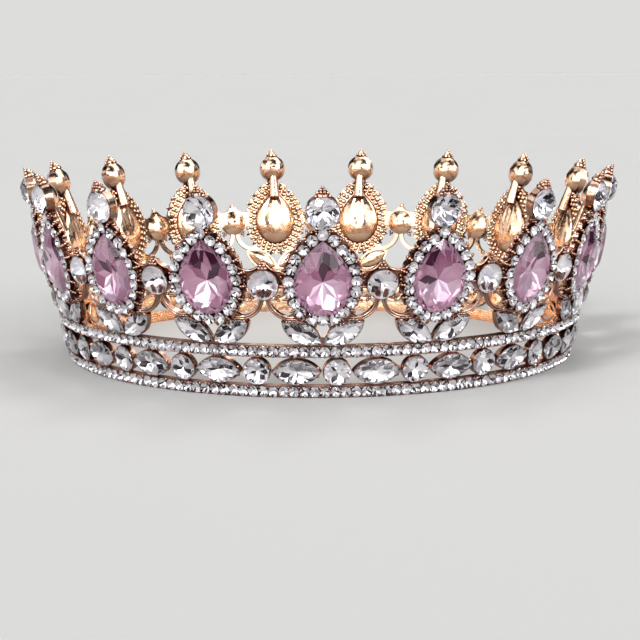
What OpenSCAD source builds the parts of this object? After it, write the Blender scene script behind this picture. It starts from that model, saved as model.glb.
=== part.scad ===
// Round bridal crown: a gold frame of two stone-set rails, a band of marquise and round
// stones between them, and a crest of 17 pear stones in halos with round stones on top.
// The wall is a cone that leans outward. Each setting is flat and lies on that cone.

/* [Wall] */
// Radius of the wall at the middle of the lower stone row
row_r = 72; // [64:0.5:80]
// Outward lean of the wall from upright, in degrees
lean = 12; // [8:0.5:16]
// Height of the middle of the lower stone row
row_z = 1.6; // [1.6:0.1:2.4]

/* [Rails] */
// Width of each rail along the wall
rail_w = 3; // [2.6:0.1:3.2]
// Thickness of each rail through the wall
rail_t = 1.7; // [1.4:0.1:2.4]
// Distance along the wall from the lower row to the upper row
rail_gap = 10.7; // [10.5:0.1:11]
// Thickness of the thin edges that hold the row stones
rail_lip = 0.26; // [0.2:0.02:0.4]

/* [Band] */
// Number of round stones in the band, with as many marquises between them
band_pairs = 23; // [20:1:23]
// Turn of the first round stone from the front, in degrees
band_turn = 3.3; // [0:0.1:15]
// Diameter of a round stone in the band
band_round_d = 6.3; // [5.8:0.1:6.4]
// Length of a marquise stone in the band
band_leaf_l = 11.5; // [10:0.1:11.6]
// Width of a marquise stone in the band
band_leaf_w = 6; // [5:0.1:6.2]

/* [Pear units] */
// Number of pear units round the crest
units = 17; // [17:1:17]
// Turn of the first pear unit from the front, in degrees
unit_turn = 0.6; // [0:0.1:5]
// Distance along the wall from the lower row to the widest part of the pear
pear_s = 28.9; // [28.5:0.1:29.5]
// Width of a pear stone
pear_w = 13.6; // [13:0.1:13.8]
// Length of a pear stone below its widest part
pear_below = 8.1; // [7.8:0.1:8.3]
// Length of a pear stone above its widest part
pear_above = 10.4; // [10.1:0.1:10.7]
// Number of small stones in a halo
halo_count = 20; // [18:1:20]
// Diameter of a halo stone
halo_d = 2.7; // [2.4:0.1:2.8]

/* [Crest] */
// Distance along the wall from the lower row to the crest stone
crest_s = 46.55; // [46.4:0.05:47.1]
// Diameter of a crest stone
crest_d = 7.7; // [7.2:0.1:7.8]
// Height of the finial above the crest cup
finial_h = 1.8; // [1.7:0.1:2.4]

/* [Spacers] */
// Distance along the wall from the lower row to the spacer stone
spacer_s = 28.4; // [28:0.1:28.8]
// Diameter of a spacer stone
spacer_d = 7.1; // [6.8:0.1:7.2]
// Outer radius of a C scroll
scroll_r = 6; // [5.6:0.1:6.2]
// Width of a C scroll
scroll_w = 1.1; // [0.8:0.1:1.3]

/* [Leaves] */
// Length of a leaf marquise
leaf_l = 10.7; // [10:0.1:11]
// Width of a leaf marquise
leaf_w = 5; // [4.6:0.1:5.2]
// Rise of a leaf marquise from level, in degrees
leaf_rise = 30; // [29:0.5:32]

/* [Settings] */
// Wall thickness of a stone's bezel
bezel = 0.32; // [0.25:0.01:0.35]
// Gap between a stone and its setting
gap = 0.08; // [0.06:0.01:0.1]

/* [Hidden] */
$fn = 48;
unit_step = 360 / units;
band_step = 180 / band_pairs;
// Overlap of soldered pieces, and how far a pocket's cut runs out past its rim
weld = 0.4;
cut_out = 4;
// Levels through the wall: 0 is the wall's surface, and more is further out
rail_top = 0.3;
rail_floor = -0.7;
row_top = 0.85;
band_back = -1.2;
band_floor = -0.8;
band_rim = 0.4;
band_girdle = 0.2;
lug_back = -1.1;
lug_top = 0;
plate_back = -0.9;
plate_top = 0.1;
plate_mid = -0.4;
leaf_floor = -0.6;
leaf_rim = 0.3;
leaf_girdle = 0.1;
pear_well = -1.6;
pear_floor = -0.45;
pear_rim = 1;
pear_girdle = 0.75;
crest_back = -1.1;
crest_well = -2;
crest_floor = -1;
crest_rim = 1;
crest_girdle = 0.75;
spacer_back = -1;
spacer_well = -1.3;
spacer_floor = -0.6;
spacer_rim = 1.1;
spacer_girdle = 0.9;
// Heights of the stones' crowns above their girdles
pear_crown = 2.4;
crest_crown = 2;
spacer_crown = 1;
leaf_crown = 0.8;
band_crown = 1;
// Bulge of the settings' rounded backs, and how far the pear's back steps in
pear_bulge = 2.7;
crest_bulge = 2.3;
spacer_bulge = 1.3;
pear_step = 0.2;
// Radii of the round cups, and of the wells in their floors for the stones' points
crest_r = crest_d / 2 + gap + bezel;
spacer_r = spacer_d / 2 + gap + bezel;
crest_well_r = 2.6;
spacer_well_r = 2.2;
pear_well_in = 1.6;
// The halo's centre line, its stones' height and overlap, and the edge of its plate
halo_lap = 0.18;
halo_path = bezel + 2 * gap + halo_d / 2 - halo_lap;
halo_h = 0.85;
halo_waist = 1;
halo_pad = 0.22;
tip_reach = 1.2;
// The leaves' middles, and how far their settings keep from the axis and from the rail
leaf_apart = 0.45;
leaf_clear = 0.06;
leaf_x = leaf_l / 2 * cos(leaf_rise) + leaf_apart;
leaf_arc = lens_radius(leaf_l, leaf_w);
leaf_s = rail_gap + rail_w / 2 + leaf_clear + leaf_arc + gap + bezel
    - (leaf_arc - leaf_w / 2) * cos(leaf_rise);
// The foot under a pair of leaves, and the web from a leaf to the halo
foot_w = 5.8;
foot_h = 2.2;
web = [[3.2, 17.4], [9.6, 18.1], [9.6, 19.1], [6, 21.4], [4, 21]];
// The stem behind a crest cup
stem_l = 8;
stem_dip = 8;
stem_top_r = 1.2;
stem_foot_r = 1.7;
stem_in = -1.4;
stem_below = 2;
// The lugs between a band setting and the rails
lug_w = 1.8;
// A spacer's shoulder plate, from its axis and its middle, and the hollow along its top
shoulder = [[0, 3.4], [0, 5.2], [0.6, 5.2], [6.6, 4.4], [6.6, -1.2], [3.2, -1.2]];
hollow_at = [3.9, 7.1];
hollow_r = 3.7;
// Middle of a C scroll, from its spacer's axis and along the wall, and its ends in degrees
scroll_x = 6.2;
scroll_s = 24.9;
scroll_ends = [155, 285];
// The finials' buds: radii, how far a crest's stands out, and the height of a spacer's
crest_bud_r = 1.7;
crest_bud_out = -0.2;
spacer_bud_r = 1.15;
spacer_bud_h = 2.8;

function two_digits(i) = i < 10 ? str("0", i) : str(i);
function numbered(name, i) = str(name, "_", two_digits(i));

// Places a piece on the wall: turned round the crown, a distance up the wall, a step outward.
// Inside it X runs round the wall, Y runs up it and Z points outward.
module on_wall(turn, s = 0, out = 0, x = 0) {
    rotate([0, 0, turn]) translate([0, -row_r, row_z]) rotate([90 + lean, 0, 0])
        translate([x, s, out]) children();
}

// Radius and height of a point of the wall's cross-section, for the turned rails.
function wall_point(s, out) = [
    row_r + s * sin(lean) + out * cos(lean),
    row_z + s * cos(lean) - out * sin(lean)
];

// A pear outline round its widest level: half ellipse below, pointed arch above.
function pear_point(w, below, above, full, t) =
    t < 0.5
        ? [w * cos(360 * t + 180), below * sin(360 * t + 180)]
        : let (u = 4 * t - 3, y = 1 - abs(u), side = u < 0 ? 1 : -1)
            [side * w * pow(1 - y * y, full), above * y];
function pear_outline(w, below, above, full, n) =
    [for (i = [0:n - 1]) pear_point(w, below, above, full, i / n)];
function pear_at(grow, n = 28) = pear_outline(
    pear_w / 2 + grow, pear_below + grow, pear_above + tip_reach * grow, 1, n);

// The halo's centre line in short steps, and the points that divide it evenly.
halo_fine = 120;
function halo_outline(grow, n) = pear_outline(
    pear_w / 2 + grow, pear_below + grow, pear_above + tip_reach * grow, 0.8, n);
halo_line = halo_outline(halo_path, halo_fine);
halo_steps = [for (i = [0:halo_fine - 1])
    norm(halo_line[(i + 1) % halo_fine] - halo_line[i])];
halo_runs = [for (i = 0, run = 0; i <= halo_fine; run = run + halo_steps[i % halo_fine], i = i + 1)
    run];
halo_length = halo_runs[halo_fine];
function halo_point(k) =
    let (run = (halo_runs[halo_fine / 4] + halo_length * k / halo_count) % halo_length)
    [
        lookup(run, [for (i = [0:halo_fine]) [halo_runs[i], halo_line[i % halo_fine][0]]]),
        lookup(run, [for (i = [0:halo_fine]) [halo_runs[i], halo_line[i % halo_fine][1]]])
    ];

// A marquise outline of two arcs.
function lens_radius(l, w) = (l * l + w * w) / (4 * w);
module lens(l, w, grow = 0) {
    r = lens_radius(l, w);
    intersection() {
        translate([0, w / 2 - r]) circle(r + grow);
        translate([0, r - w / 2]) circle(r + grow);
    }
}
function lens_outline(l, w, n) =
    let (r = lens_radius(l, w), half = asin(l / 2 / r))
    [for (i = [0:n - 1])
        let (side = i < n / 2 ? 1 : -1, k = i % (n / 2), a = half * (1 - 4 * k / n))
        side * [r * sin(a), r * cos(a) - r + w / 2]];
function round_outline(d, n) = [for (i = [0:n - 1]) d / 2 * [cos(360 * i / n), sin(360 * i / n)]];

// A faceted stone from its girdle outline: a table of half as many corners above,
// a crown of triangles down to the girdle, and a pavilion that narrows to a small culet.
module cut_stone(outline, girdle, crown, pavilion, table = 0.56, culet = 0.18) {
    n = len(outline);
    m = n / 2;
    low = [for (p = outline) [p[0], p[1], girdle]];
    top = [for (i = [0:m - 1]) [
        table * outline[2 * i][0], table * outline[2 * i][1], girdle + crown]];
    back = [for (i = [0:m - 1]) [
        culet * outline[2 * i + 1][0], culet * outline[2 * i + 1][1], girdle - pavilion]];
    crown_faces = [for (i = [0:m - 1]) each [
        [2 * i, n + i, 2 * i + 1],
        [2 * i + 1, n + i, n + (i + 1) % m],
        [2 * i + 1, n + (i + 1) % m, (2 * i + 2) % n]]];
    pavilion_faces = [for (i = [0:m - 1]) each [
        [2 * i, 2 * i + 1, n + m + i],
        [2 * i + 1, (2 * i + 2) % n, n + m + i],
        [(2 * i + 2) % n, n + m + (i + 1) % m, n + m + i]]];
    table_face = [[for (i = [m - 1:-1:0]) n + i]];
    culet_face = [[for (i = [0:m - 1]) n + m + i]];
    polyhedron(concat(low, top, back), concat(crown_faces, pavilion_faces, table_face, culet_face));
}

// A closed dome over an outline, rounded from its rim to its flat crown, on the inner side.
module back_dome(outline, rim, depth, rings = 3, span = 78) {
    n = len(outline);
    points = [for (k = [0:rings])
        let (a = span * k / rings)
        for (p = outline) [p[0] * cos(a), p[1] * cos(a), rim - depth * sin(a) / sin(span)]];
    walls = [for (k = [0:rings - 1], i = [0:n - 1]) each [
        [k * n + i, k * n + (i + 1) % n, (k + 1) * n + i],
        [k * n + (i + 1) % n, (k + 1) * n + (i + 1) % n, (k + 1) * n + i]]];
    polyhedron(points, concat(
        walls,
        [[for (i = [n - 1:-1:0]) i]],
        [[for (i = [0:n - 1]) rings * n + i]]));
}

module rail(s) {
    half = rail_w / 2;
    inner = half - rail_lip;
    ground = s == 0;
    back = rail_top - rail_t;
    foot_in = [wall_point(-half, back)[0], 0];
    foot_out = [wall_point(-half, rail_top)[0], 0];
    rotate_extrude($fn = 180) polygon(concat(
        ground ? [foot_in, foot_out] : [wall_point(s - half, back), wall_point(s - half, rail_top)],
        [
            wall_point(s - inner, rail_top), wall_point(s - inner, rail_floor),
            wall_point(s + inner, rail_floor), wall_point(s + inner, rail_top),
            wall_point(s + half, rail_top), wall_point(s + half, back)
        ]));
}

// One setting of the band: an outline through its bezel, a pocket for its stone and two
// lugs that end halfway into the lips of the rails.
module band_setting(turn) {
    lug_l = rail_gap - rail_w + rail_lip;
    on_wall(turn, rail_gap / 2) difference() {
        union() {
            translate([0, 0, band_back]) linear_extrude(band_rim - band_back) children(0);
            translate([-lug_w / 2, -lug_l / 2, lug_back]) cube([lug_w, lug_l, lug_top - lug_back]);
        }
        translate([0, 0, band_floor]) linear_extrude(cut_out) children(1);
    }
}

module band() {
    for (i = [0:band_pairs - 1]) {
        turn = band_turn + 2 * i * band_step;
        band_setting(turn) {
            circle(band_round_d / 2 + gap + bezel);
            circle(band_round_d / 2 + gap);
        }
        band_setting(turn + band_step) {
            lens(band_leaf_l, band_leaf_w, gap + bezel);
            lens(band_leaf_l, band_leaf_w, gap);
        }
    }
}

// A turned cup: a straight wall from its base level up to its rim, over a rounded back.
module round_cup(r, rim, base, bulge) {
    ball = (r * r + bulge * bulge) / (2 * bulge);
    rotate_extrude() {
        translate([0, base]) square([r, rim - base]);
        intersection() {
            translate([0, base + ball - bulge]) circle(ball);
            translate([0, base - 2 * bulge]) square([r, 2 * bulge + weld / 2]);
        }
    }
}

// Places a leaf marquise of a unit, left for side -1 and right for side 1.
module on_leaf(side) {
    translate([side * leaf_x, leaf_s]) rotate(side * leaf_rise) children();
}

module unit_outline() {
    translate([0, pear_s]) {
        polygon(halo_outline(halo_path, 40));
        for (k = [0:halo_count - 1])
            translate(halo_point(k)) circle(halo_d / 2 + halo_pad);
    }
    for (side = [-1, 1]) {
        on_leaf(side) lens(leaf_l, leaf_w, gap + bezel);
        on_side(side) polygon(web);
    }
    translate([-foot_w / 2, rail_gap + (rail_w - weld) / 2]) square([foot_w, foot_h]);
}

// Mirrors a flat outline for side -1 and keeps it for side 1.
module on_side(side) {
    mirror([side < 0 ? 1 : 0, 0]) children();
}

module crest_unit(turn) {
    on_wall(turn) difference() {
        union() {
            translate([0, 0, plate_back]) linear_extrude(plate_top - plate_back) unit_outline();
            for (side = [-1, 1]) on_leaf(side) translate([0, 0, plate_mid])
                linear_extrude(leaf_rim - plate_mid) lens(leaf_l, leaf_w, gap + bezel);
            translate([0, pear_s, plate_mid]) linear_extrude(pear_rim - plate_mid)
                polygon(pear_at(gap + bezel, 24));
            translate([0, pear_s]) back_dome(pear_at(-pear_step, 16), plate_mid, pear_bulge);
            translate([0, crest_s, 0]) round_cup(crest_r, crest_rim, crest_back, crest_bulge);
            translate([0, crest_s - stem_below, stem_in]) rotate([90 + stem_dip, 0, 0])
                cylinder(r1 = stem_top_r, r2 = stem_foot_r, h = stem_l);
            crest_finial();
        }
        translate([0, pear_s, pear_floor]) linear_extrude(cut_out) polygon(pear_at(gap, 24));
        translate([0, pear_s, pear_well]) linear_extrude(cut_out)
            polygon(pear_at(-pear_well_in, 24));
        translate([0, crest_s, crest_floor]) cylinder(r = crest_d / 2 + gap, h = cut_out);
        translate([0, crest_s, crest_well]) cylinder(r = crest_well_r, h = cut_out);
        for (side = [-1, 1]) on_leaf(side) translate([0, 0, leaf_floor])
            linear_extrude(cut_out) lens(leaf_l, leaf_w, gap);
    }
}

// A stepped bud of three rings that grow smaller, on the outline of a cluster of beads.
module bud(r, h) {
    rotate([-90, 0, 0]) rotate_extrude() polygon([
        [0, 0], [0.8 * r, 0], [r, 0.14 * h], [0.9 * r, 0.36 * h], [0.66 * r, 0.42 * h],
        [0.68 * r, 0.6 * h], [0.56 * r, 0.7 * h], [0.4 * r, 0.74 * h], [0.36 * r, 0.9 * h],
        [0.14 * r, h], [0, h]]);
}

module crest_finial() {
    translate([0, crest_s + crest_r - weld, crest_bud_out]) bud(crest_bud_r, finial_h + weld);
}

module spacer_unit(turn) {
    on_wall(turn, spacer_s) difference() {
        union() {
            round_cup(spacer_r, spacer_rim, spacer_back, spacer_bulge);
            translate([0, 0, plate_back]) linear_extrude(plate_top - plate_back) {
                for (side = [-1, 1]) on_side(side) {
                    scroll_outline();
                    shoulder_outline();
                }
            }
            spacer_finial();
        }
        translate([0, 0, spacer_floor]) cylinder(r = spacer_d / 2 + gap, h = cut_out);
        translate([0, 0, spacer_well]) cylinder(r = spacer_well_r, h = cut_out);
    }
}

// The part of a flat ring between two angles, counted from +X towards +Y.
module ring_sector(r, w, ends) {
    wedge = [for (k = [0:3])
        let (a = ends[0] + (ends[1] - ends[0]) * k / 3) 2 * r * [cos(a), sin(a)]];
    intersection() {
        difference() {
            circle(r);
            circle(r - w);
        }
        polygon(concat([[0, 0]], wedge));
    }
}

module scroll_outline() {
    translate([scroll_x, scroll_s - spacer_s]) ring_sector(scroll_r, scroll_w, scroll_ends);
}

// The plate from a spacer's side up to its finial, with a hollow curve along its top.
module shoulder_outline() {
    difference() {
        polygon(shoulder);
        translate(hollow_at) circle(hollow_r);
    }
}

module spacer_finial() {
    translate([0, spacer_r - weld, plate_top]) bud(spacer_bud_r, spacer_bud_h);
}

module frame() color([0.86, 0.62, 0.42]) {
    rail(0);
    rail(rail_gap);
    band();
    for (i = [0:units - 1]) {
        crest_unit(unit_turn + i * unit_step);
        spacer_unit(unit_turn + (i + 0.5) * unit_step);
    }
}

module pear_stone(i) color([0.86, 0.6, 0.75])
    on_wall(unit_turn + (i - 1) * unit_step, pear_s)
        cut_stone(pear_at(0, 24), pear_girdle, pear_crown, pear_girdle - pear_well - gap);

module crest_stone(i) color([0.9, 0.92, 0.96])
    on_wall(unit_turn + (i - 1) * unit_step, crest_s)
        cut_stone(
            round_outline(crest_d, 16), crest_girdle, crest_crown, crest_girdle - crest_well - gap);

module spacer_stones() color([0.9, 0.92, 0.96])
    for (i = [0:units - 1]) on_wall(unit_turn + (i + 0.5) * unit_step, spacer_s)
        cut_stone(
            round_outline(spacer_d, 16), spacer_girdle, spacer_crown,
            spacer_girdle - spacer_well - gap);

module leaf_stones() color([0.86, 0.88, 0.9])
    for (i = [0:units - 1], side = [-1, 1]) on_wall(unit_turn + i * unit_step)
        on_leaf(side) cut_stone(
            lens_outline(leaf_l, leaf_w, 16), leaf_girdle, leaf_crown,
            leaf_girdle - leaf_floor - gap);

module band_round_stones() color([0.9, 0.92, 0.96])
    for (i = [0:band_pairs - 1]) on_wall(band_turn + 2 * i * band_step, rail_gap / 2)
        cut_stone(
            round_outline(band_round_d, 16), band_girdle, band_crown,
            band_girdle - band_floor - gap);

module band_marquise_stones() color([0.86, 0.88, 0.9])
    for (i = [0:band_pairs - 1]) on_wall(band_turn + (2 * i + 1) * band_step, rail_gap / 2)
        cut_stone(
            lens_outline(band_leaf_l, band_leaf_w, 16), band_girdle, band_crown,
            band_girdle - band_floor - gap);

// A ring of halo stones as one flat scalloped shape that keeps clear of the settings by it.
module halo_ring() {
    difference() {
        translate([0, pear_s]) difference() {
            union() {
                polygon(halo_outline(halo_path + halo_waist / 2, 40));
                for (k = [0:halo_count - 1]) translate(halo_point(k)) circle(halo_d / 2);
            }
            polygon(pear_at(2 * gap + bezel));
        }
        translate([0, crest_s]) circle(crest_r + gap);
        for (side = [-1, 1]) on_leaf(side) lens(leaf_l, leaf_w, 2 * gap + bezel);
    }
}

module halo_stones() color([0.92, 0.92, 0.96])
    for (i = [0:units - 1]) on_wall(unit_turn + i * unit_step, 0, plate_top + gap)
        linear_extrude(halo_h) halo_ring();

// A row of small stones as a ring: a block with chamfered edges in the rail's channel.
module row_ring(s) {
    half = rail_w / 2 - rail_lip - gap;
    low = rail_floor + gap;
    edge = rail_top + gap;
    rotate_extrude($fn = 180) polygon([
        wall_point(s - half, low), wall_point(s - half, edge),
        wall_point(s - half / 2, row_top), wall_point(s + half / 2, row_top),
        wall_point(s + half, edge), wall_point(s + half, low)
    ]);
}

module upper_row_stones() color([0.92, 0.92, 0.96]) row_ring(rail_gap);

module lower_row_stones() color([0.92, 0.92, 0.96]) row_ring(0);

frame();
for (i = [1:units]) pear_stone(i);
for (i = [1:units]) crest_stone(i);
spacer_stones();
leaf_stones();
band_round_stones();
band_marquise_stones();
halo_stones();
upper_row_stones();
lower_row_stones();
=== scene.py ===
"""Looks of the bridal crown: the studio, the gold, the cut stones, and the beads and wires of the frame.

Stones and ornaments are made in flat settings on the crown's wall. In a setting X runs round the wall,
Y runs up it from the middle of the lower stone row, and Z points outward, all in millimetres.
place() carries a setting's points to the row frame, in metres.
"""

import math
import random

import bpy
import numpy as np
from mathutils import Matrix, Vector


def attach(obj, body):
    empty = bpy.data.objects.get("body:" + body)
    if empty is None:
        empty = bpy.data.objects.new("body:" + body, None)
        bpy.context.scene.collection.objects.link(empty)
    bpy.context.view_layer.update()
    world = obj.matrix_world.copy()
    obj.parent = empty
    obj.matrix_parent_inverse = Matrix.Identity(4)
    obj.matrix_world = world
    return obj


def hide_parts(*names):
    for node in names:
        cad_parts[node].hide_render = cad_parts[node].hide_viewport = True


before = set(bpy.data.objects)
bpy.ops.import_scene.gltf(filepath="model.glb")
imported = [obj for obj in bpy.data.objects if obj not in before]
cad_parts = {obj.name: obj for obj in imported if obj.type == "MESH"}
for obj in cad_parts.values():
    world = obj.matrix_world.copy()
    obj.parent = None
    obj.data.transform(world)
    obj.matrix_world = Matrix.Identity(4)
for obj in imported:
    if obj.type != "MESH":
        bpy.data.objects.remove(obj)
bpy.context.view_layer.update()
random.seed(17)

MM = 0.001

# Sizes in mm and angles in degrees, as in the CAD source
ROW_R, LEAN, ROW_Z = 72.0, 12.0, 1.6
RAIL_W, RAIL_GAP = 3.0, 10.7
BAND_PAIRS, BAND_TURN, BAND_ROUND_D, BAND_LEAF_L, BAND_LEAF_W = 23, 3.3, 6.3, 11.5, 6.0
BAND_FLOOR, BAND_RIM, BAND_BACK = -0.8, 0.4, -1.2
UNITS, UNIT_TURN = 17, 0.6
PEAR_S, PEAR_W, PEAR_BELOW, PEAR_ABOVE, TIP_REACH = 28.9, 13.6, 8.1, 10.4, 1.2
PEAR_WELL, PEAR_RIM = -1.6, 1.0
PLATE_BACK = -0.9
HALO_COUNT, HALO_PATH, HALO_D = 20, 1.5, 2.85
CREST_S, CREST_D, CREST_WELL, CREST_RIM = 46.55, 7.7, -2.0, 1.0
SPACER_S, SPACER_D, SPACER_WELL, SPACER_RIM = 28.4, 7.1, -1.3, 1.1
LEAF_L, LEAF_W, LEAF_RISE = 10.7, 5.0, 30.0
LEAF_APART, LEAF_CLEAR = 0.45, 0.06
LEAF_FLOOR, LEAF_RIM = -0.6, 0.3
BEZEL, GAP = 0.32, 0.08
CREST_R = CREST_D / 2 + GAP + BEZEL
SPACER_R = SPACER_D / 2 + GAP + BEZEL
SCROLL_X, SCROLL_S, SCROLL_R, SCROLL_W = 6.2, 24.9, 6.0, 1.1
SCROLL_ENDS = (155, 285)
HOLLOW_AT, HOLLOW_R = (3.9, 7.1), 3.7


def lens_radius(length, width):
    """Radius of the two arcs of a marquise."""
    return (length ** 2 + width ** 2) / (4 * width)


LEAF_ARC = lens_radius(LEAF_L, LEAF_W)
LEAF_X = LEAF_L / 2 * math.cos(math.radians(LEAF_RISE)) + LEAF_APART
LEAF_S = (
    RAIL_GAP + RAIL_W / 2 + LEAF_CLEAR + LEAF_ARC + GAP + BEZEL
    - (LEAF_ARC - LEAF_W / 2) * math.cos(math.radians(LEAF_RISE))
)


# Places and outlines -----------------------------------------------------------------------------

def place(points, turn, s=0.0, x=0.0, spin=0.0):
    """Points of a setting, in mm, as points of the row frame in metres.

    spin turns the setting in its own plane before it is moved by x and s."""
    p = np.asarray(points, float)
    c, d = math.cos(math.radians(spin)), math.sin(math.radians(spin))
    px = p[:, 0] * c - p[:, 1] * d + x
    py = p[:, 0] * d + p[:, 1] * c + s
    pz = p[:, 2]
    a, t = math.radians(LEAN), math.radians(turn)
    y = -ROW_R - py * math.sin(a) - pz * math.cos(a)
    z = ROW_Z + py * math.cos(a) - pz * math.sin(a)
    return np.column_stack((px * math.cos(t) - y * math.sin(t), px * math.sin(t) + y * math.cos(t), z)) * MM


def round_outline(d, n):
    """A circle of diameter d, n points."""
    a = np.arange(n) * 2 * math.pi / n
    return np.column_stack((np.cos(a), np.sin(a))) * d / 2


def lens_outline(length, width, n):
    """A marquise from its right tip, over the top, n points."""
    r = lens_radius(length, width)
    half = math.asin(length / 2 / r)
    a = half * (1 - 4 * np.arange(n // 2) / n)
    top = np.column_stack((r * np.sin(a), r * np.cos(a) - r + width / 2))
    return np.vstack((top, -top))


def pear_outline(grow, n, full=1.0):
    """A pear: half an ellipse below its widest level and a pointed arch above, from the left side down.

    grow widens the pear stone's outline all round; a lower full gives the arch rounder shoulders."""
    w, below, above = PEAR_W / 2 + grow, PEAR_BELOW + grow, PEAR_ABOVE + TIP_REACH * grow
    points = []
    for i in range(n):
        t = i / n
        if t < 0.5:
            a = 2 * math.pi * t + math.pi
            points.append((w * math.cos(a), below * math.sin(a)))
        else:
            u = 4 * t - 3
            y = 1 - abs(u)
            points.append(((1 if u < 0 else -1) * w * (1 - y * y) ** full, above * y))
    return np.array(points)


def closed(outline):
    """An outline with its first point repeated at the end."""
    return np.vstack((outline, outline[:1]))


def steps(line):
    """The lengths between the neighbouring points of a line."""
    return np.linalg.norm(np.diff(line, axis=0), axis=1)


def even(outline, n, start=0.0):
    """n points at equal steps along a closed outline, from a share start of its length."""
    ring = closed(outline)
    runs = np.concatenate(([0], np.cumsum(steps(ring))))
    at = ((np.arange(n) / n + start) % 1) * runs[-1]
    return np.column_stack((np.interp(at, runs, ring[:, 0]), np.interp(at, runs, ring[:, 1])))


LINE_POINTS, LINE_FULL = 240, 0.8


def pear_line(grow):
    """A fine pear outline for stones or beads to follow."""
    return pear_outline(grow, LINE_POINTS, LINE_FULL)


# The line of the halo's stones, and the share of its length from the left side to its lowest point
HALO_LINE = pear_line(HALO_PATH)
HALO_BOTTOM = steps(HALO_LINE[:LINE_POINTS // 4 + 1]).sum() / steps(closed(HALO_LINE)).sum()


# Rings of corners on a pavilion, each as its share of the outline and its share of the depth
FINE_TIERS = [(0.3, 0.8), (0.58, 0.56)]
PLAIN_TIERS = [(0.36, 0.66)]
PEAR_TIERS = [(0.36, 0.78), (0.7, 0.46)]
# The ring of fine corners near the edge of a pavilion with two tiers; its corners are deep by turns
EDGE_SHARE, EDGE_FALLS = 0.86, (0.2, 0.25)
# The groove down the back of a cup, in mm: its half width, the height where it ends, and the length of
# its run out. SHELL_SHARE is a hollow dome's inner outline as a share of its outer one.
GROOVE_HALF, GROOVE_END, GROOVE_FADE = 1.0, 1.0, 1.6
SHELL_SHARE = 0.93


# Meshes ------------------------------------------------------------------------------------------

class Pile:
    """Points and faces gathered, shape by shape, into one mesh."""

    def __init__(self):
        self.points, self.faces, self.kinds, self.tones, self.count = [], [], [], [], 0

    def add(self, points, faces, kinds=None, tones=None):
        self.points.append(np.asarray(points, float))
        self.faces += [tuple(i + self.count for i in f) for f in faces]
        self.kinds += list(kinds) if kinds is not None else [0] * len(faces)
        self.tones += list(tones) if tones is not None else [(1.0, 1.0, 1.0)] * len(faces)
        self.count += len(points)

    def piece(self, name, materials, slot, smooth, replaces=()):
        """The pile as a piece of the crown that rides on its one body."""
        mesh = bpy.data.meshes.new(name)
        mesh.from_pydata(np.concatenate(self.points).tolist(), [], self.faces)
        mesh.polygons.foreach_set("material_index", self.kinds)
        mesh.polygons.foreach_set("use_smooth", [smooth] * len(self.faces))
        # each face's painted reflection colour, plain white where none is painted
        tone = mesh.attributes.new("tone", "FLOAT_COLOR", "FACE")
        colours = np.column_stack((np.array(self.tones), np.ones(len(self.faces))))
        tone.data.foreach_set("color", colours.ravel())
        for material in materials:
            mesh.materials.append(material)
        mesh.validate()
        mesh.update()
        piece = bpy.data.objects.new(name, mesh)
        bpy.context.scene.collection.objects.link(piece)
        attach(piece, "root")
        if replaces:
            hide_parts(*replaces)
        return piece


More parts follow.
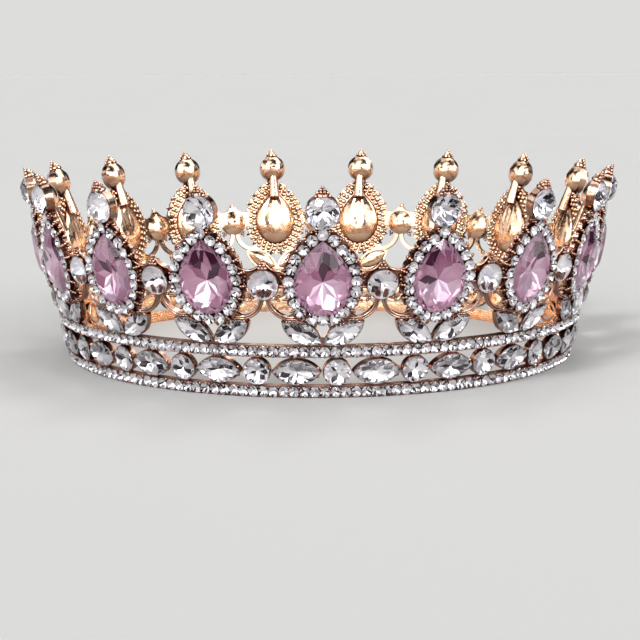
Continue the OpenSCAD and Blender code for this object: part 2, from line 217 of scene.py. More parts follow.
def cut(outline, mains, girdle, crown, pavilion, table=0.56, star=0.78, belt=0.12, back_mains=None,
        tiers=FINE_TIERS):
    """A brilliant cut over a girdle outline, its crown of glass and its foiled pavilion.

    girdle is the level of the outline, crown the height above it and pavilion the depth below it. mains
    and back_mains count the main facets of both, table and star are shares of the outline, belt is the
    girdle's height, and tiers are the pavilion's rings of corners.
    Returns points, faces, and each face's kind: 0 for the glass above, 1 for the foil below."""
    n = len(outline)
    back_mains = back_mains or mains
    up, down = n // mains, n // back_mains
    level = np.array([(x, y, girdle) for x, y in outline])
    lower = level - (0, 0, belt)
    points = list(level) + list(lower)
    faces, kinds = [], []

    def between(ring, i, step):
        """Indices of step + 1 neighbouring points, from number i of a ring that starts at index ring."""
        return [ring + (i + k) % n for k in range(step + 1)]

    # crown
    tables = len(points)
    points += [(table * x, table * y, girdle + crown) for x, y in outline[::up]]
    stars = len(points)
    star_z = girdle + crown * (1 - star * math.cos(math.pi / mains)) / (1 - table)
    half = up // 2
    points += [(star * x, star * y, star_z) for x, y in outline[half::up]]
    faces.append(tuple(tables + i for i in range(mains)))
    for i in range(mains):
        j = (i + 1) % mains
        faces.append((tables + i, stars + i, tables + j))
        faces.append((tables + i, stars + (i - 1) % mains, i * up, stars + i))
        faces.append(tuple([stars + i] + between(0, i * up, half)))
        faces.append(tuple([stars + i] + between(0, i * up + half, up - half)))
    kinds += [0] * len(faces)
    # girdle
    faces += [(n + i, n + (i + 1) % n, (i + 1) % n, i) for i in range(n)]
    kinds += [1] * n
    # pavilion: kites from the point out to one ring of corners, or to two and an edge of fine facets
    depth, half, made = pavilion - belt, down // 2, len(faces)
    point = len(points)
    points.append((0, 0, girdle - pavilion))
    edged, rings = len(tiers) == 2, []
    for (share, fall), offset in zip(tiers, (half, 0)):
        rings.append(len(points))
        for i in range(back_mains):
            x, y = outline[(i * down + offset) % n]
            points.append((share * x, share * y, girdle - belt - depth * fall))
    last = rings[-1]
    if edged:
        edge = len(points)
        points += [
            (EDGE_SHARE * x, EDGE_SHARE * y, girdle - belt - depth * EDGE_FALLS[k % 2])
            for k, (x, y) in enumerate(outline)
        ]
        for i in range(n):
            j = (i + 1) % n
            faces += [(edge + i, edge + j, n + j), (edge + i, n + j, n + i)]
    for i in range(back_mains):
        before, after = (i - 1) % back_mains, (i + 1) % back_mains
        if edged:
            faces.append((point, rings[0] + i, last + i, rings[0] + before))
            faces.append((rings[0] + i, last + after, edge + i * down + half, last + i))
            rim = between(edge, i * down - half, down)
            faces += [(last + i, b, a) for a, b in zip(rim, rim[1:])]
        else:
            faces.append((point, last + i, n + i * down, last + before))
            faces.append(tuple([last + i] + between(n, i * down, half)[::-1]))
            faces.append(tuple([last + i] + between(n, i * down + half, down - half)[::-1]))
    kinds += [1] * (len(faces) - made)
    return np.array(points, float), faces, kinds


# Where a stone's rim and upper zones start, as shares of its half size, and how far a facet's painted
# reflection may be dimmed
RIM_FROM, UPPER_FROM, DIMMEST = 0.6, 0.05, 0.9


def paint_reflections(shape, zones):
    """A painted reflection colour for each face: white for glass, and for foil one of its zone's (share,
    colour) pairs.

    The zones are the stone's upper middle, its lower middle and its rim. Bright and dark foil facets are
    painted reflections."""
    points, faces, kinds = shape
    half = np.abs(points[:, :2]).max(0)
    upper, lower, rim = zones
    tones = []
    for face, kind in zip(faces, kinds):
        u, v = points[list(face), :2].mean(0) / half
        palette = rim if math.hypot(u, v) > RIM_FROM else upper if v > UPPER_FROM else lower
        colour = random.choices(palette, [share for share, _ in palette])[0][1]
        step = random.uniform(DIMMEST, 1.0)
        tones.append(tuple(c * step for c in colour) if kind == 1 else (1.0, 1.0, 1.0))
    return tones


def tube(path, r, sides=8):
    """A round wire of radius r along a path of (x, y, z) in the plane of a setting."""
    n = len(path)
    along = np.gradient(path, axis=0)
    along /= np.linalg.norm(along, axis=1)[:, None]
    side = np.cross(along, (0, 0, 1))
    side /= np.linalg.norm(side, axis=1)[:, None]
    rise = np.cross(side, along)
    a = np.arange(sides) * 2 * math.pi / sides
    rings = path[:, None] + r * (
        np.cos(a)[None, :, None] * side[:, None] + np.sin(a)[None, :, None] * rise[:, None]
    )
    points = rings.reshape(-1, 3)
    faces = [
        (i * sides + k, i * sides + (k + 1) % sides, (i + 1) * sides + (k + 1) % sides, (i + 1) * sides + k)
        for i in range(n - 1) for k in range(sides)
    ]
    faces.append(tuple(range(sides))[::-1])
    faces.append(tuple((n - 1) * sides + k for k in range(sides)))
    return points, faces


def cap(outline, base, height, rings, groove=0.0, hollow=0.0):
    """A smooth dome on the inner side of a setting, from an outline at base.

    groove is the depth of a groove down its top. hollow makes it a shell, whose inner side is that much
    shallower."""
    n = len(outline)

    def dome(scale, depth):
        """Points of a dome, ring by ring, and its top."""
        points = []
        for k in range(rings):
            a = math.pi / 2 * k / rings
            for x, y in outline:
                px, py = scale * x * math.cos(a), scale * y * math.cos(a)
                fade = 1 + math.exp(-(py - GROOVE_END) / GROOVE_FADE)
                split = math.exp(-(px / GROOVE_HALF) ** 2) / fade
                points.append((px, py, base - depth * math.sin(a) + groove * split * math.sin(a)))
        return points + [(0, 0, base - depth + groove / (1 + math.exp(GROOVE_END / GROOVE_FADE)))]

    faces = [
        (k * n + i, (k + 1) * n + i, (k + 1) * n + (i + 1) % n, k * n + (i + 1) % n)
        for k in range(rings - 1) for i in range(n)
    ]
    last = (rings - 1) * n
    faces += [(last + i, rings * n, last + (i + 1) % n) for i in range(n)]
    points = dome(1, height)
    if not hollow:
        return np.array(points), faces + [tuple(range(n))]
    inner = len(points)
    faces += [tuple(inner + i for i in f[::-1]) for f in faces]
    faces += [(i, (i + 1) % n, inner + (i + 1) % n, inner + i) for i in range(n)]
    return np.array(points + dome(SHELL_SHARE, height - hollow)), faces


def ball(level):
    """Points and faces of a unit ball, an icosahedron divided level times."""
    g = (1 + math.sqrt(5)) / 2
    points = [(-1, g, 0), (1, g, 0), (-1, -g, 0), (1, -g, 0), (0, -1, g), (0, 1, g),
              (0, -1, -g), (0, 1, -g), (g, 0, -1), (g, 0, 1), (-g, 0, -1), (-g, 0, 1)]
    faces = [(0, 11, 5), (0, 5, 1), (0, 1, 7), (0, 7, 10), (0, 10, 11), (1, 5, 9), (5, 11, 4), (11, 10, 2),
             (10, 7, 6), (7, 1, 8), (3, 9, 4), (3, 4, 2), (3, 2, 6), (3, 6, 8), (3, 8, 9), (4, 9, 5),
             (2, 4, 11), (6, 2, 10), (8, 6, 7), (9, 8, 1)]
    points = [np.array(p) / np.linalg.norm(p) for p in points]
    for _ in range(level):
        middles, finer = {}, []

        def middle(a, b):
            """Index of the point on the ball halfway between two corners."""
            key = (min(a, b), max(a, b))
            if key not in middles:
                m = points[a] + points[b]
                points.append(m / np.linalg.norm(m))
                middles[key] = len(points) - 1
            return middles[key]

        for a, b, c in faces:
            ab, bc, ca = middle(a, b), middle(b, c), middle(c, a)
            finer += [(a, ab, ca), (b, bc, ab), (c, ca, bc), (ab, bc, ca)]
        faces = finer
    return np.array(points), faces


BALL = ball(1)


def beads(pile, centres, r, turn, s=0.0, mirrored=False):
    """Balls at points (x, y, z) of a setting; mirrored repeats them on the other side of its axis."""
    points, faces = BALL
    for x, y, z in centres:
        for side in ((1, -1) if mirrored else (1,)):
            pile.add(place(points * r + (side * x, y, z), turn, s), faces)


# Materials ---------------------------------------------------------------------------------------

def material(name):
    """A new material, its node tree and its shader."""
    made = bpy.data.materials.new(name)
    made.use_nodes = True
    tree = made.node_tree
    shader = tree.nodes["Principled BSDF"]
    return made, tree, shader


def node(tree, kind, **values):
    """A node with its sockets set by name."""
    made = tree.nodes.new(kind)
    for key, value in values.items():
        made.inputs[key.replace("_", " ")].default_value = value
    return made


def ramp(tree, source, stops, stepped=False):
    """A colour ramp fed by a socket, with (position, colour) stops."""
    made = tree.nodes.new("ShaderNodeValToRGB")
    if stepped:
        made.color_ramp.interpolation = "CONSTANT"
    while len(made.color_ramp.elements) < len(stops):
        made.color_ramp.elements.new(0.5)
    for element, (at, colour) in zip(made.color_ramp.elements, stops):
        element.position = at
        element.color = (*colour, 1)
    tree.links.new(source, made.inputs["Fac"])
    return made.outputs["Color"]


def gold(name, light, deep, painted_outer_shade, painted_shade):
    """Polished rose gold with casting marks.

    The inner side is clouded from deep to light. The outer side is painted darker and more copper, as
    painted shade. Recesses and undersides are darkened towards a painted shade colour."""
    made, tree, shader = material(name)
    links = tree.links
    # the clouded colours of both sides; the outer side's are painted darker, as painted shade
    place_node = node(tree, "ShaderNodeTexCoord")
    clouds = node(tree, "ShaderNodeTexNoise", Scale=260.0, Detail=3.0, Roughness=0.55)
    links.new(place_node.outputs["Object"], clouds.inputs["Vector"])
    inside = ramp(tree, clouds.outputs["Fac"], [(0.35, deep), (0.65, light)])
    deep_painted_outer_shade = tuple(0.55 * c for c in painted_outer_shade)
    outside = ramp(tree, clouds.outputs["Fac"], [(0.35, deep_painted_outer_shade), (0.65, painted_outer_shade)])
    # the outer side, painted darker as painted shade, is where the surface faces away from the crown's axis
    flat = node(tree, "ShaderNodeVectorMath")
    flat.operation = "MULTIPLY"
    flat.inputs[1].default_value = (1, 1, 0)
    links.new(place_node.outputs["Object"], flat.inputs[0])
    radial = node(tree, "ShaderNodeVectorMath")
    radial.operation = "NORMALIZE"
    links.new(flat.outputs["Vector"], radial.inputs[0])
    facing = node(tree, "ShaderNodeVectorMath")
    facing.operation = "DOT_PRODUCT"
    links.new(radial.outputs["Vector"], facing.inputs[0])
    links.new(place_node.outputs["Normal"], facing.inputs[1])
    outer = node(tree, "ShaderNodeMapRange", From_Min=-0.25, From_Max=0.15)
    links.new(facing.outputs["Value"], outer.inputs["Value"])
    sides = node(tree, "ShaderNodeMix")
    sides.data_type = "RGBA"
    links.new(outer.outputs["Result"], sides.inputs["Factor"])
    links.new(inside, sides.inputs["A"])
    links.new(outside, sides.inputs["B"])
    # painted shade: recesses (found by ambient occlusion) and undersides are darkened towards the shade
    # colour
    hollow = node(tree, "ShaderNodeAmbientOcclusion", Distance=0.003)
    hollow.samples = 4
    mix = node(tree, "ShaderNodeMix")
    mix.data_type = "RGBA"
    reach = node(tree, "ShaderNodeMapRange", From_Min=0.4, From_Max=0.97)
    links.new(hollow.outputs["AO"], reach.inputs["Value"])
    split = node(tree, "ShaderNodeSeparateXYZ")
    links.new(place_node.outputs["Normal"], split.inputs["Vector"])
    under = node(tree, "ShaderNodeMapRange", From_Min=-0.6, From_Max=0.0, To_Min=0.12, To_Max=1.0)
    links.new(split.outputs["Z"], under.inputs["Value"])
    unshaded = node(tree, "ShaderNodeMath")
    unshaded.operation = "MULTIPLY"
    links.new(reach.outputs["Result"], unshaded.inputs[0])
    links.new(under.outputs["Result"], unshaded.inputs[1])
    links.new(unshaded.outputs["Value"], mix.inputs["Factor"])
    mix.inputs["A"].default_value = (*painted_shade, 1)
    links.new(sides.outputs["Result"], mix.inputs["B"])
    links.new(mix.outputs["Result"], shader.inputs["Base Color"])
    # wear in the polish, over the waves of the casting
    wear = node(tree, "ShaderNodeTexNoise", Scale=900.0, Detail=4.0, Roughness=0.6)
    links.new(place_node.outputs["Object"], wear.inputs["Vector"])
    rough = node(tree, "ShaderNodeMapRange", To_Min=0.1, To_Max=0.26)
    links.new(wear.outputs["Fac"], rough.inputs["Value"])
    links.new(rough.outputs["Result"], shader.inputs["Roughness"])
    cast = node(tree, "ShaderNodeTexNoise", Scale=420.0, Detail=2.0, Roughness=0.5)
    links.new(place_node.outputs["Object"], cast.inputs["Vector"])
    waves = node(tree, "ShaderNodeBump", Strength=0.6, Distance=0.00022)
    links.new(cast.outputs["Fac"], waves.inputs["Height"])
    bump = node(tree, "ShaderNodeBump", Strength=0.25, Distance=0.00004)
    links.new(wear.outputs["Fac"], bump.inputs["Height"])
    links.new(waves.outputs["Normal"], bump.inputs["Normal"])
    links.new(bump.outputs["Normal"], shader.inputs["Normal"])
    shader.inputs["Metallic"].default_value = 1.0
    return made


def glass(name, tint, bend):
    """The clear upper part of a cut stone, faintly clouded; bend is its index of refraction."""
    made, tree, shader = material(name)
    place_node = node(tree, "ShaderNodeTexCoord")
    clouds = node(tree, "ShaderNodeTexNoise", Scale=180.0, Detail=1.0)
    tree.links.new(place_node.outputs["Object"], clouds.inputs["Vector"])
    paler = tuple(0.5 + 0.5 * c for c in tint)
    colour = ramp(tree, clouds.outputs["Fac"], [(0.3, tint), (0.7, paler)])
    tree.links.new(colour, shader.inputs["Base Color"])
    shader.inputs["Transmission Weight"].default_value = 1.0
    shader.inputs["IOR"].default_value = bend
    shader.inputs["Roughness"].default_value = 0.0
    return made


def foil(name, tint, mirror, blur):
    """The mirror coat under a stone, each facet tinted by its painted reflection; mirror is how metallic it
    is.
    """
    made, tree, shader = material(name)
    tone = node(tree, "ShaderNodeAttribute")
    tone.attribute_name = "tone"
    mix = node(tree, "ShaderNodeMix")
    mix.data_type, mix.blend_type = "RGBA", "MULTIPLY"
    mix.inputs["Factor"].default_value = 1.0
    mix.inputs["A"].default_value = (*tint, 1)
    tree.links.new(tone.outputs["Color"], mix.inputs["B"])
    tree.links.new(mix.outputs["Result"], shader.inputs["Base Color"])
    shader.inputs["Metallic"].default_value = mirror
    shader.inputs["Roughness"].default_value = blur
    return made


# The outer side's darker copper and the dark brown of recesses and undersides are painted shade
GOLD = gold(
    "rose_gold", light=(0.98, 0.72, 0.51), deep=(0.78, 0.48, 0.31), painted_outer_shade=(0.74, 0.45, 0.34),
    painted_shade=(0.15, 0.05, 0.03))

# The glass and the foil of each kind of stone
CLEAR = [
    glass("clear_glass", tint=(0.98, 0.985, 1.0), bend=1.38),
    foil("clear_foil", tint=(1.0, 1.0, 1.0), mirror=0.68, blur=0.04)]
BRIGHT = [CLEAR[0], foil("bright_foil", tint=(1.0, 1.0, 1.0), mirror=0.45, blur=0.06)]
PINK = [
    glass("pink_glass", tint=(0.98, 0.86, 0.93), bend=1.5),
    foil("pink_foil", tint=(0.99, 0.79, 0.88), mirror=0.5, blur=0.08)]

# Painted reflections: the (share, colour) pairs of the foil facets in a stone's upper zone, lower zone and
# rim.
# White, blue and dark facets are painted bright and dark reflections; most upper zones lean dark as painted
# shade.
WHITE, GREY, DARK, BLUE = (1.0, 0.975, 0.995), (0.62, 0.58, 0.6), (0.035, 0.025, 0.03), (0.8, 0.82, 1.0)
ROUND_REFLECTIONS = (
    [(5, WHITE), (2, GREY), (2, DARK), (0.5, BLUE)],
    [(5, WHITE), (2, GREY), (1.4, DARK), (0.5, BLUE)],
    [(6, WHITE), (2, GREY), (1.6, DARK)])
BRIGHT_REFLECTIONS = (
    [(9, WHITE), (1, DARK), (1, BLUE)],
    [(7, WHITE), (1, GREY), (1.5, DARK), (1, BLUE)],
    [(9, WHITE), (1, GREY), (1, DARK)])
LEAF_REFLECTIONS = (
    [(2, GREY), (2, (0.3, 0.28, 0.29)), (1.3, DARK), (1, WHITE)],
    [(6, WHITE), (1, GREY), (1, DARK)],
    [(4, WHITE), (2, GREY), (1.5, DARK)])
PAVE_REFLECTIONS = ([(6, WHITE), (2, GREY), (1.5, DARK)],) * 3
DEEP, PLUM, MAUVE, ROSE = (0.08, 0.02, 0.05), (0.4, 0.2, 0.31), (0.66, 0.5, 0.59), (0.84, 0.8, 0.85)
PINK_REFLECTIONS = (
    [(2, DEEP), (2, PLUM), (2, MAUVE), (1, ROSE)],
    [(3, ROSE), (1, (0.84, 0.86, 0.95)), (2, MAUVE), (0.6, DEEP)],
    [(4, ROSE), (4, MAUVE), (2, PLUM), (1, DEEP)])


# The stones --------------------------------------------------------------------------------------

def units():
    """The turns of the pears."""
    return [UNIT_TURN + i * 360 / UNITS for i in range(UNITS)]


def spacers():
    """The turns of the spacers, halfway between the pears."""
    return [UNIT_TURN + (i + 0.5) * 360 / UNITS for i in range(UNITS)]


def tilted(points, most):
    """Points of a stone tipped by up to most degrees, each stone its own way."""
    turns = Matrix.Rotation(math.radians(random.uniform(-most, most)), 3, "X") @ Matrix.Rotation(
        math.radians(random.uniform(-most, most)), 3, "Y")
    return points @ np.array(turns).T


def stones(name, shape, places, materials, tones, slot, replaces, tilt=0.0):
    """One piece of stones of one cut; places has place()'s arguments for each.

    Each stone draws its tilt first and then its painted reflections, so the order of these calls sets the
    looks."""
    pile = Pile()
    points, faces, kinds = shape
    for at in places:
        pile.add(place(tilted(points, tilt), **at), faces, kinds, paint_reflections(shape, tones))
    return pile.piece(name, materials, slot, smooth=False, replaces=replaces)


# The large stones lap their bezels by OVER (the pears by PEAR_OVER, the tips of the marquises by half of
# TIP_OVER) and stand LIFT above the rims, on a belt
OVER, LIFT, BELT = GAP + 0.6 * BEZEL, 0.3, 0.14
PEAR_OVER, TIP_OVER = GAP + 0.75 * BEZEL, 0.5
# Heights of the crowns above the belts
PEAR_CROWN, CREST_CROWN, SPACER_CROWN, LOW_CROWN = 2.0, 1.8, 1.1, 0.9
# The row stones: height, and width as a share of it
ROW_STONE, ROW_STONE_SHARE = 3.1, 0.825
ROW_COUNTS = {0.0: 176, RAIL_GAP: 182}
# Round stones are turned at random by up to FREE_SPIN degrees. Small ones repeat every HALO_SPIN degrees.
FREE_SPIN, HALO_SPIN = 20, 45


def set_stone(outline, mains, rim, floor, crown, **shape):
    """A large stone's cut for a setting with this rim and floor."""
    return cut(outline, mains, rim + LIFT, crown, rim + LIFT - floor - GAP, belt=BELT, **shape)


def round_stone(d):
    """The outline of a large round stone for a stone of diameter d in the CAD."""
    return round_outline(d + 2 * OVER, 32)


def lens_stone(length, width):
    """The same for a marquise."""
    return lens_outline(length + TIP_OVER, width + 2 * OVER, 32)


pear_cut = set_stone(
    pear_outline(PEAR_OVER, 48), 16, PEAR_RIM, PEAR_WELL, PEAR_CROWN, table=0.58, star=0.8, back_mains=8,
    tiers=PEAR_TIERS)
crest_cut = set_stone(round_stone(CREST_D), 8, CREST_RIM, CREST_WELL, CREST_CROWN)
spacer_cut = set_stone(round_stone(SPACER_D), 8, SPACER_RIM, SPACER_WELL, SPACER_CROWN)
leaf_cut = set_stone(lens_stone(LEAF_L, LEAF_W), 8, LEAF_RIM, LEAF_FLOOR, LOW_CROWN)
band_round_cut = set_stone(round_stone(BAND_ROUND_D), 8, BAND_RIM, BAND_FLOOR, LOW_CROWN)
band_leaf_cut = set_stone(lens_stone(BAND_LEAF_L, BAND_LEAF_W), 8, BAND_RIM, BAND_FLOOR, LOW_CROWN)
halo_cut = cut(
    round_outline(HALO_D, 16), mains=8, girdle=1.42, crown=0.5, pavilion=0.75, belt=0.08, tiers=PLAIN_TIERS)
row_cut = cut(
    round_outline(ROW_STONE, 16) * (ROW_STONE_SHARE, 1), mains=8, girdle=0.5, crown=0.45, pavilion=1.08,
    belt=0.1, tiers=PLAIN_TIERS)

for i, turn in enumerate(units(), 1):
    at = [{"turn": turn, "s": PEAR_S}]
    stones(f"pear_crystal_{i:02d}", pear_cut, at,
           PINK, PINK_REFLECTIONS, "pink_crystal", [f"pear_stone_{i:02d}"])
    at = [{"turn": turn, "s": CREST_S, "spin": random.uniform(-FREE_SPIN, FREE_SPIN)}]
    stones(f"crest_crystal_{i:02d}", crest_cut, at,
           CLEAR, ROUND_REFLECTIONS, "clear_crystal", [f"crest_stone_{i:02d}"])
stones("spacer_crystals", spacer_cut,
       [{"turn": turn, "s": SPACER_S, "spin": random.uniform(-FREE_SPIN, FREE_SPIN)} for turn in spacers()],
       BRIGHT, BRIGHT_REFLECTIONS, "clear_crystal", ["spacer_stones"], tilt=3)
stones("leaf_crystals", leaf_cut,
       [{"turn": turn, "s": LEAF_S, "x": side * LEAF_X, "spin": side * LEAF_RISE}
        for turn in units() for side in (-1, 1)],
       CLEAR, LEAF_REFLECTIONS, "clear_crystal", ["leaf_stones"], tilt=4)
stones("band_round_crystals", band_round_cut,
       [{"turn": BAND_TURN + i * 360 / BAND_PAIRS, "s": RAIL_GAP / 2,
         "spin": random.uniform(-FREE_SPIN, FREE_SPIN)} for i in range(BAND_PAIRS)],
       CLEAR, ROUND_REFLECTIONS, "clear_crystal", ["band_round_stones"], tilt=3)
stones("band_marquise_crystals", band_leaf_cut,
       [{"turn": BAND_TURN + (i + 0.5) * 360 / BAND_PAIRS, "s": RAIL_GAP / 2} for i in range(BAND_PAIRS)],
       CLEAR, LEAF_REFLECTIONS, "clear_crystal", ["band_marquise_stones"])
halo_points = even(HALO_LINE, HALO_COUNT, HALO_BOTTOM)
stones("halo_rhinestones", halo_cut,
       [{"turn": turn, "s": PEAR_S + y, "x": x, "spin": random.uniform(0, HALO_SPIN)}
        for turn in units() for x, y in halo_points],
       CLEAR, PAVE_REFLECTIONS, "rhinestone", ["halo_stones"], tilt=9)
for s, name in ((RAIL_GAP, "upper_row"), (0.0, "lower_row")):
    count = ROW_COUNTS[s]
    stones(f"{name}_rhinestones", row_cut,
           [{"turn": (k + 0.5) * 360 / count, "s": s} for k in range(count)],
           CLEAR, PAVE_REFLECTIONS, "rhinestone", [f"{name}_stones"], tilt=7)


# The gold ----------------------------------------------------------------------------------------

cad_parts["frame"].material_slots[0].material = GOLD

# A halo prong's beads: distance out from the line of the stones, level and radius
PRONG_BEADS = ((0.95, 1.05, 0.4), (1.5, 0.7, 0.42), (2.0, 0.3, 0.36))
prongs = Pile()
# The prongs stand in the gaps between the stones; a second line, 1 mm further out, gives their directions
halo_gaps = even(HALO_LINE, HALO_COUNT, HALO_BOTTOM + 0.5 / HALO_COUNT)
halo_edge = even(pear_line(HALO_PATH + 1), HALO_COUNT, HALO_BOTTOM + 0.5 / HALO_COUNT)
for turn in units():
    for (x, y), (ex, ey) in zip(halo_gaps, halo_edge):
        out = np.array((ex - x, ey - y)) / math.hypot(ex - x, ey - y)
        for reach, high, r in PRONG_BEADS:
            beads(prongs, [(x + reach * out[0], y + reach * out[1], high)], r, turn, PEAR_S)
prongs.piece("halo_prongs", [GOLD], "rose_gold", smooth=True)

# The claws above and below the gaps between row stones, and inside the rails between band stones
ROW_CLAWS, ROW_CLAW_R = [(0, -1.22, 0.45), (0, 1.22, 0.45)], 0.27
BAND_CLAWS, BAND_CLAW_R = [(0.3, -1.1, 0.4), (0.3, 1.1, 0.4)], 0.4
row_claws = Pile()
for s, count in ROW_COUNTS.items():
    for k in range(count):
        beads(row_claws, ROW_CLAWS, ROW_CLAW_R, k * 360 / count, s)
for k in range(2 * BAND_PAIRS):
    turn = BAND_TURN + (k + 0.5) * 180 / BAND_PAIRS
    beads(row_claws, BAND_CLAWS, BAND_CLAW_R, turn, RAIL_GAP / 2)
row_claws.piece("row_claws", [GOLD], "rose_gold", smooth=True)


def cluster(rows, cup, step):
    """Places (x, y) of beads in rows over a cup's top, step apart: (count, height above the cup) pairs."""
    centres = []
    for count, rise in rows:
        for k in range(count):
            a = (k - (count - 1) / 2) * step / (cup + rise)
            centres.append(((cup + rise) * math.sin(a), (cup + rise) * math.cos(a)))
    return centres


CREST_BALLS = cluster([(5, 0.2), (4, 0.85), (2, 1.5), (1, 2.1)], CREST_R, 0.86)
SPACER_BALLS = cluster([(3, 0.3), (2, 0.95), (1, 1.6), (1, 2.25)], SPACER_R, 0.8)
CREST_BALL_Z, CREST_BALL_R = 0.75, 0.47
SPACER_BALL_Z, SPACER_BALL_R = 0.9, 0.43
finials = Pile()
for turn in units():
    beads(finials, [(x, y, CREST_BALL_Z) for x, y in CREST_BALLS], CREST_BALL_R, turn, CREST_S)
for turn in spacers():
    beads(finials, [(x, y, SPACER_BALL_Z) for x, y in SPACER_BALLS], SPACER_BALL_R, turn, SPACER_S)
finials.piece("finial_beads", [GOLD], "rose_gold", smooth=True)


def arc(side, x, y, r, ends, n, z):
    """A path of n points on an arc round (x, y) in a setting at level z; side -1 mirrors it."""
    a = np.radians(np.linspace(*ends, n))
    return np.column_stack((side * (x + r * np.cos(a)), y + r * np.sin(a), np.full(n, z)))


# The two wires of a scroll lie WIRE_IN from its edges; the shoulder's lies SHOULDER_OUT past its hollow
WIRE_IN, WIRE_R, WIRE_Z = 0.27, 0.31, 0.16
SHOULDER_OUT, SHOULDER_R, SHOULDER_Z, SHOULDER_ENDS = 0.12, 0.34, 0.2, (205, 318)
wires = Pile()
for turn in spacers():
    for side in (-1, 1):
        for r in (SCROLL_R - WIRE_IN, SCROLL_R - SCROLL_W + WIRE_IN):
            path = arc(side, SCROLL_X, SCROLL_S - SPACER_S, r, SCROLL_ENDS, 24, WIRE_Z)
            points, faces = tube(path, WIRE_R)
            wires.add(place(points, turn, SPACER_S), faces)
        path = arc(side, *HOLLOW_AT, HOLLOW_R + SHOULDER_OUT, SHOULDER_ENDS, 20, SHOULDER_Z)
        points, faces = tube(path, SHOULDER_R)
        wires.add(place(points, turn, SPACER_S), faces)
wires.piece("scroll_wires", [GOLD], "rose_gold", smooth=True)

# Places (x, y, z) of the grains on one side of a spacer, and on one side of the web under a pear
SPACER_GRAINS = [
    (4.5, 1.9, 0.4), (4.75, 0.9, 0.4), (4.75, -0.15, 0.4), (5.5, 2.7, 0.35), (5.6, 1.5, 0.35),
    (2.9, -3.6, 0.4), (3.6, -3.1, 0.4), (3.5, -4.1, 0.4), (5.5, 0.3, 0.35)]
WEB_GRAINS = [
    (3.9, 17.75, 0.25), (4.9, 17.95, 0.25), (5.9, 18.15, 0.25), (6.9, 18.3, 0.25), (7.9, 18.5, 0.25),
    (8.8, 18.65, 0.25), (6.4, 19.1, 0.2), (7.4, 19.3, 0.2)]
SPACER_GRAIN_R, WEB_GRAIN_R = 0.46, 0.42
grains = Pile()
for turn in spacers():
    beads(grains, SPACER_GRAINS, SPACER_GRAIN_R, turn, SPACER_S, mirrored=True)
for turn in units():
    beads(grains, WEB_GRAINS, WEB_GRAIN_R, turn, mirrored=True)
grains.piece("gold_grains", [GOLD], "rose_gold", smooth=True)

# Rows of nodules on the back of a halo plate: distance out from the pear, count, least and largest radius.
# The wider a row, the further round it starts, so that the nodules don't line up.
NODULE_ROWS = [(0.5, 28, 0.72, 0.85), (1.65, 32, 0.75, 0.9), (2.7, 38, 0.5, 0.75)]
NODULE_Z = PLATE_BACK + 0.15
nodules = Pile()
for turn in units():
    for reach, count, least, most in NODULE_ROWS:
        for x, y in even(pear_line(reach), count, HALO_BOTTOM + 0.25 * reach / count):
            beads(nodules, [(x, y, NODULE_Z)], random.uniform(least, most), turn, PEAR_S)
nodules.piece("cast_nodules", [GOLD], "rose_gold", smooth=True)

# The domes on the backs of the settings start a little inside the CAD's flat backs
pear_back = cap(pear_outline(-0.1, 48), PLATE_BACK + 0.3, height=2.75, rings=9, groove=0.9, hollow=0.5)
leaf_back = cap(lens_outline(LEAF_L - 0.2, LEAF_W - 0.1, 32), PLATE_BACK + 0.2, height=1.1, rings=6)
round_back = cap(round_outline(BAND_ROUND_D - 0.4, 32), BAND_BACK + 0.1, height=0.8, rings=5)
lens_back = cap(lens_outline(BAND_LEAF_L - 1, BAND_LEAF_W - 0.5, 32), BAND_BACK + 0.1, height=0.7, rings=5)
backs = Pile()
for turn in units():
    points, faces = pear_back
    backs.add(place(points, turn, PEAR_S), faces)
    points, faces = leaf_back
    for side in (-1, 1):
        backs.add(place(points, turn, LEAF_S, x=side * LEAF_X, spin=side * LEAF_RISE), faces)
for i in range(BAND_PAIRS):
    turn = BAND_TURN + i * 360 / BAND_PAIRS
    points, faces = round_back
    backs.add(place(points, turn, RAIL_GAP / 2), faces)
    points, faces = lens_back
    backs.add(place(points, turn + 180 / BAND_PAIRS, RAIL_GAP / 2), faces)
backs.piece("setting_backs", [GOLD], "rose_gold", smooth=True)


# The studio --------------------------------------------------------------------------------------

# HORIZON is the light that the floor gives back, so that no edge shows where the floor ends
FLOOR_COLOUR, FLOOR_R, HORIZON = (0.42, 0.417, 0.412), 30.0, (0.724, 0.722, 0.715)
# The tent's panels: where each kind starts on the scale of the random cells, and its colour
TENT_PANELS = [
    (0.0, (0.01, 0.01, 0.012)), (0.36, (0.6, 0.61, 0.63)),
    (0.52, (1.7, 1.72, 1.75)), (0.78, (3.6, 3.6, 3.6))]
# How bright the tent is behind the crown, as a share
TENT_BACK = 0.3


def plain_floor():
    """A wide pale floor."""
    made, tree, shader = material("pale_floor")
    place_node = node(tree, "ShaderNodeTexCoord")
    clouds = node(tree, "ShaderNodeTexNoise", Scale=6.0, Detail=2.0)
    tree.links.new(place_node.outputs["Object"], clouds.inputs["Vector"])
    paler = tuple(1.02 * c for c in FLOOR_COLOUR)
    colour = ramp(tree, clouds.outputs["Fac"], [(0.3, FLOOR_COLOUR), (0.7, paler)])
    tree.links.new(colour, shader.inputs["Base Color"])
    shader.inputs["Roughness"].default_value = 1.0
    shader.inputs["Specular IOR Level"].default_value = 0.0
    sides = 96
    turns = [2 * math.pi * k / sides for k in range(sides)]
    points = [(FLOOR_R * math.cos(a), FLOOR_R * math.sin(a), 0) for a in turns]
    mesh = bpy.data.meshes.new("studio_floor")
    mesh.from_pydata(points, [], [tuple(range(sides))])
    mesh.materials.append(made)
    floor = bpy.data.objects.new("studio_floor", mesh)
    bpy.context.scene.collection.objects.link(floor)


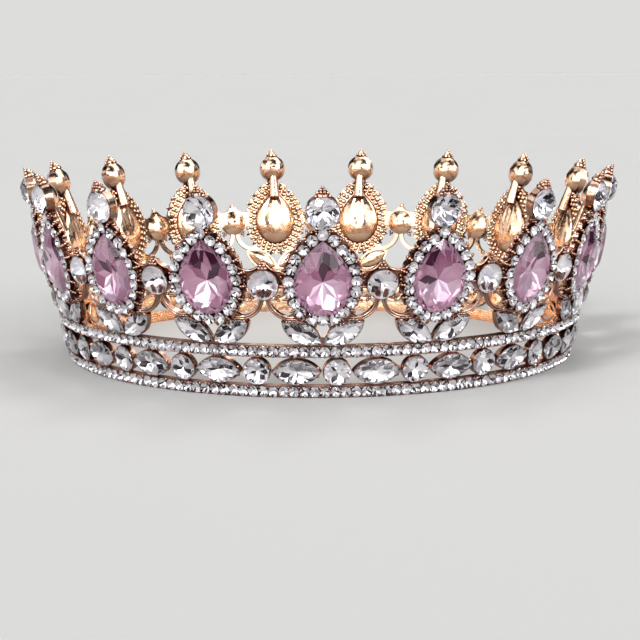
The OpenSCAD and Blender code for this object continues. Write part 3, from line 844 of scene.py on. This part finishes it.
def light_tent():
    """The world: a tent of bright, grey and dark panels, plain and pale along the horizon."""
    world = bpy.data.worlds.new("studio")
    world.use_nodes = True
    tree = world.node_tree
    where = node(tree, "ShaderNodeTexCoord")
    cells = node(tree, "ShaderNodeTexVoronoi", Scale=2.7)
    tree.links.new(where.outputs["Generated"], cells.inputs["Vector"])
    split = node(tree, "ShaderNodeSeparateColor")
    tree.links.new(cells.outputs["Color"], split.inputs["Color"])
    panels = ramp(tree, split.outputs["Red"], TENT_PANELS, stepped=True)
    height = node(tree, "ShaderNodeSeparateXYZ")
    tree.links.new(where.outputs["Generated"], height.inputs["Vector"])
    level = node(tree, "ShaderNodeMath")
    level.operation = "ABSOLUTE"
    tree.links.new(height.outputs["Z"], level.inputs[0])
    behind = node(tree, "ShaderNodeMapRange", From_Min=-0.1, From_Max=0.5, To_Min=1.0, To_Max=TENT_BACK)
    tree.links.new(height.outputs["Y"], behind.inputs["Value"])
    dimmed = node(tree, "ShaderNodeVectorMath")
    dimmed.operation = "SCALE"
    tree.links.new(panels, dimmed.inputs[0])
    tree.links.new(behind.outputs["Result"], dimmed.inputs["Scale"])
    away = node(tree, "ShaderNodeMapRange", From_Min=0.05, From_Max=0.1)
    tree.links.new(level.outputs["Value"], away.inputs["Value"])
    mix = node(tree, "ShaderNodeMix")
    mix.data_type = "RGBA"
    mix.inputs["A"].default_value = (*HORIZON, 1)
    tree.links.new(away.outputs["Result"], mix.inputs["Factor"])
    tree.links.new(dimmed.outputs["Vector"], mix.inputs["B"])
    tree.links.new(mix.outputs["Result"], tree.nodes["Background"].inputs["Color"])
    bpy.context.scene.world = world


def lamp(name, azimuth, elevation, size, strength):
    """A far round white light, size degrees wide; azimuth 0 is the camera's side."""
    light = bpy.data.lights.new(name, "SUN")
    light.energy, light.angle = strength, math.radians(size)
    made = bpy.data.objects.new(name, light)
    a, e = math.radians(azimuth), math.radians(elevation)
    away = Vector((math.sin(a) * math.cos(e), -math.cos(a) * math.cos(e), math.sin(e)))
    made.location = 2 * away
    made.rotation_mode = "QUATERNION"
    made.rotation_quaternion = away.to_track_quat("Z", "Y")
    bpy.context.scene.collection.objects.link(made)


plain_floor()
light_tent()
lamp("key_light", azimuth=-35, elevation=48, size=14, strength=1.6)
lamp("fill_light", azimuth=50, elevation=28, size=18, strength=0.6)
lamp("low_light", azimuth=8, elevation=20, size=8, strength=0.25)
lamp("back_light", azimuth=165, elevation=50, size=16, strength=0.6)
bpy.context.scene.view_settings.view_transform = "Standard"

# The camera of the photograph, as fitted: its rise and roll in radians, its distance and aim in metres,
# and its lens in mm
CAMERA_RISE, CAMERA_AWAY, CAMERA_ROLL, CAMERA_LENS = 0.1601, 0.4586, -0.0048, 88.03
CAMERA_AIM = Vector((0.0001, 0, 0.008))
camera = bpy.data.objects.new("camera", bpy.data.cameras.new("camera"))
camera.data.lens, camera.data.sensor_width = CAMERA_LENS, 36
camera.data.clip_start, camera.data.clip_end = 0.01, 20
back = Vector((0, -math.cos(CAMERA_RISE), math.sin(CAMERA_RISE)))
camera.location = CAMERA_AIM + back * CAMERA_AWAY
camera.rotation_mode = "QUATERNION"
level = back.to_track_quat("Z", "Y").to_matrix()
camera.rotation_quaternion = (level @ Matrix.Rotation(CAMERA_ROLL, 3, "Z")).to_quaternion()
bpy.context.scene.collection.objects.link(camera)
bpy.context.scene.camera = camera

bpy.context.view_layer.update()
